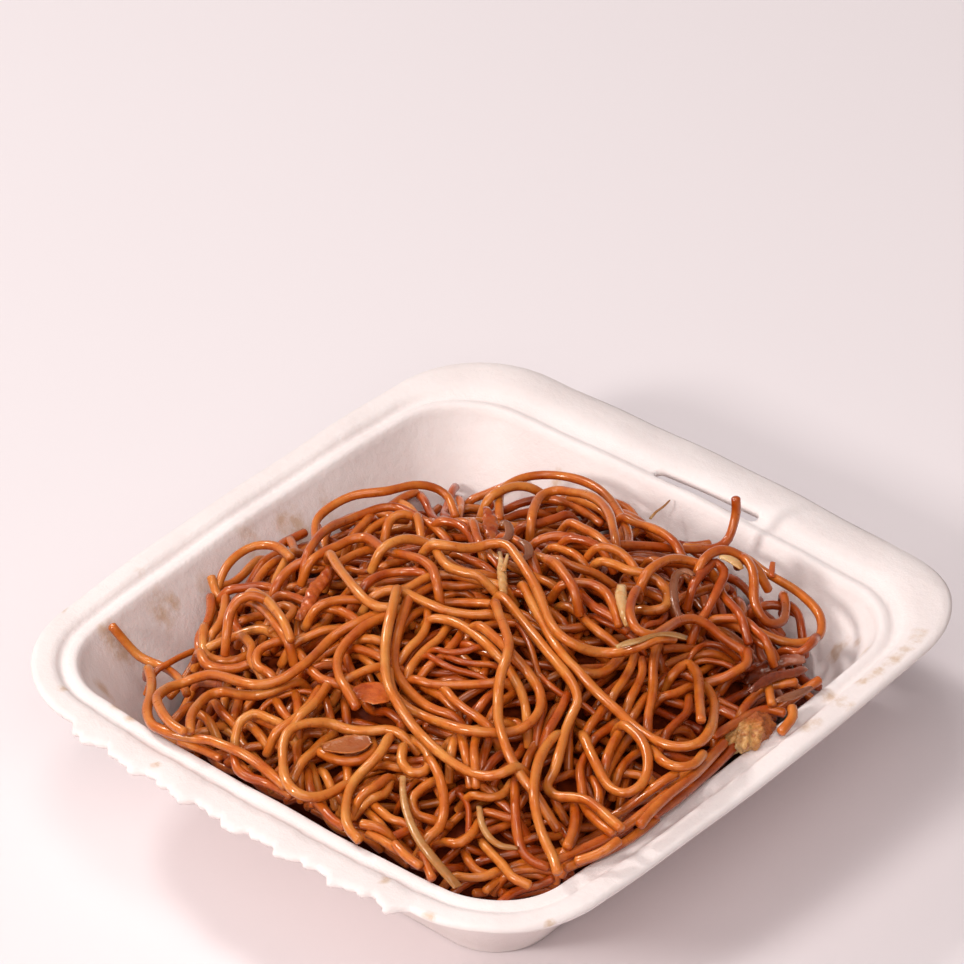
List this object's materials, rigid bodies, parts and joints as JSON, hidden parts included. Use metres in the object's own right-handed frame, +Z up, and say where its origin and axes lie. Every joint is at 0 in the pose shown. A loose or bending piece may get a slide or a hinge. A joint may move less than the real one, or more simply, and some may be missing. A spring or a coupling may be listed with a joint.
{
  "type": "noodle takeaway box",
  "caption": "Square moulded pulp takeaway tray with a flared rim, heaped with fried noodles and shreds of meat, pepper, onion and greens; it stands on its flat foot.",
  "frame": {"origin": "middle of the flat foot, on the table", "axes": "+Z up, +Y towards the side with the locking slot, -Y towards the side where the lid was torn off"},
  "size_m": [0.153, 0.1656, 0.0572],
  "materials": {
    "pulp": "matt moulded pulp",
    "noodle": "oily, glossy",
    "fried": "fried, satin",
    "pepper": "oily, glossy",
    "onion": "translucent, glossy",
    "meat": "cooked, satin",
    "stalk": "glossy",
    "leaf": "glossy"
  },
  "bodies": {
    "root": {"pulp_tray": "pulp", "noodle_heap": "noodle", "fried_piece": "fried", "pepper_piece": "pepper", "onion_slice": "onion", "meat_shred": "meat", "pork_strip": "meat", "pork_sliver": "meat", "stalk_long": "stalk", "stalk_short": "stalk", "sprout_back": "stalk", "sprout_side": "stalk", "leaf_strip": "leaf"}
  },
  "joints": []
}
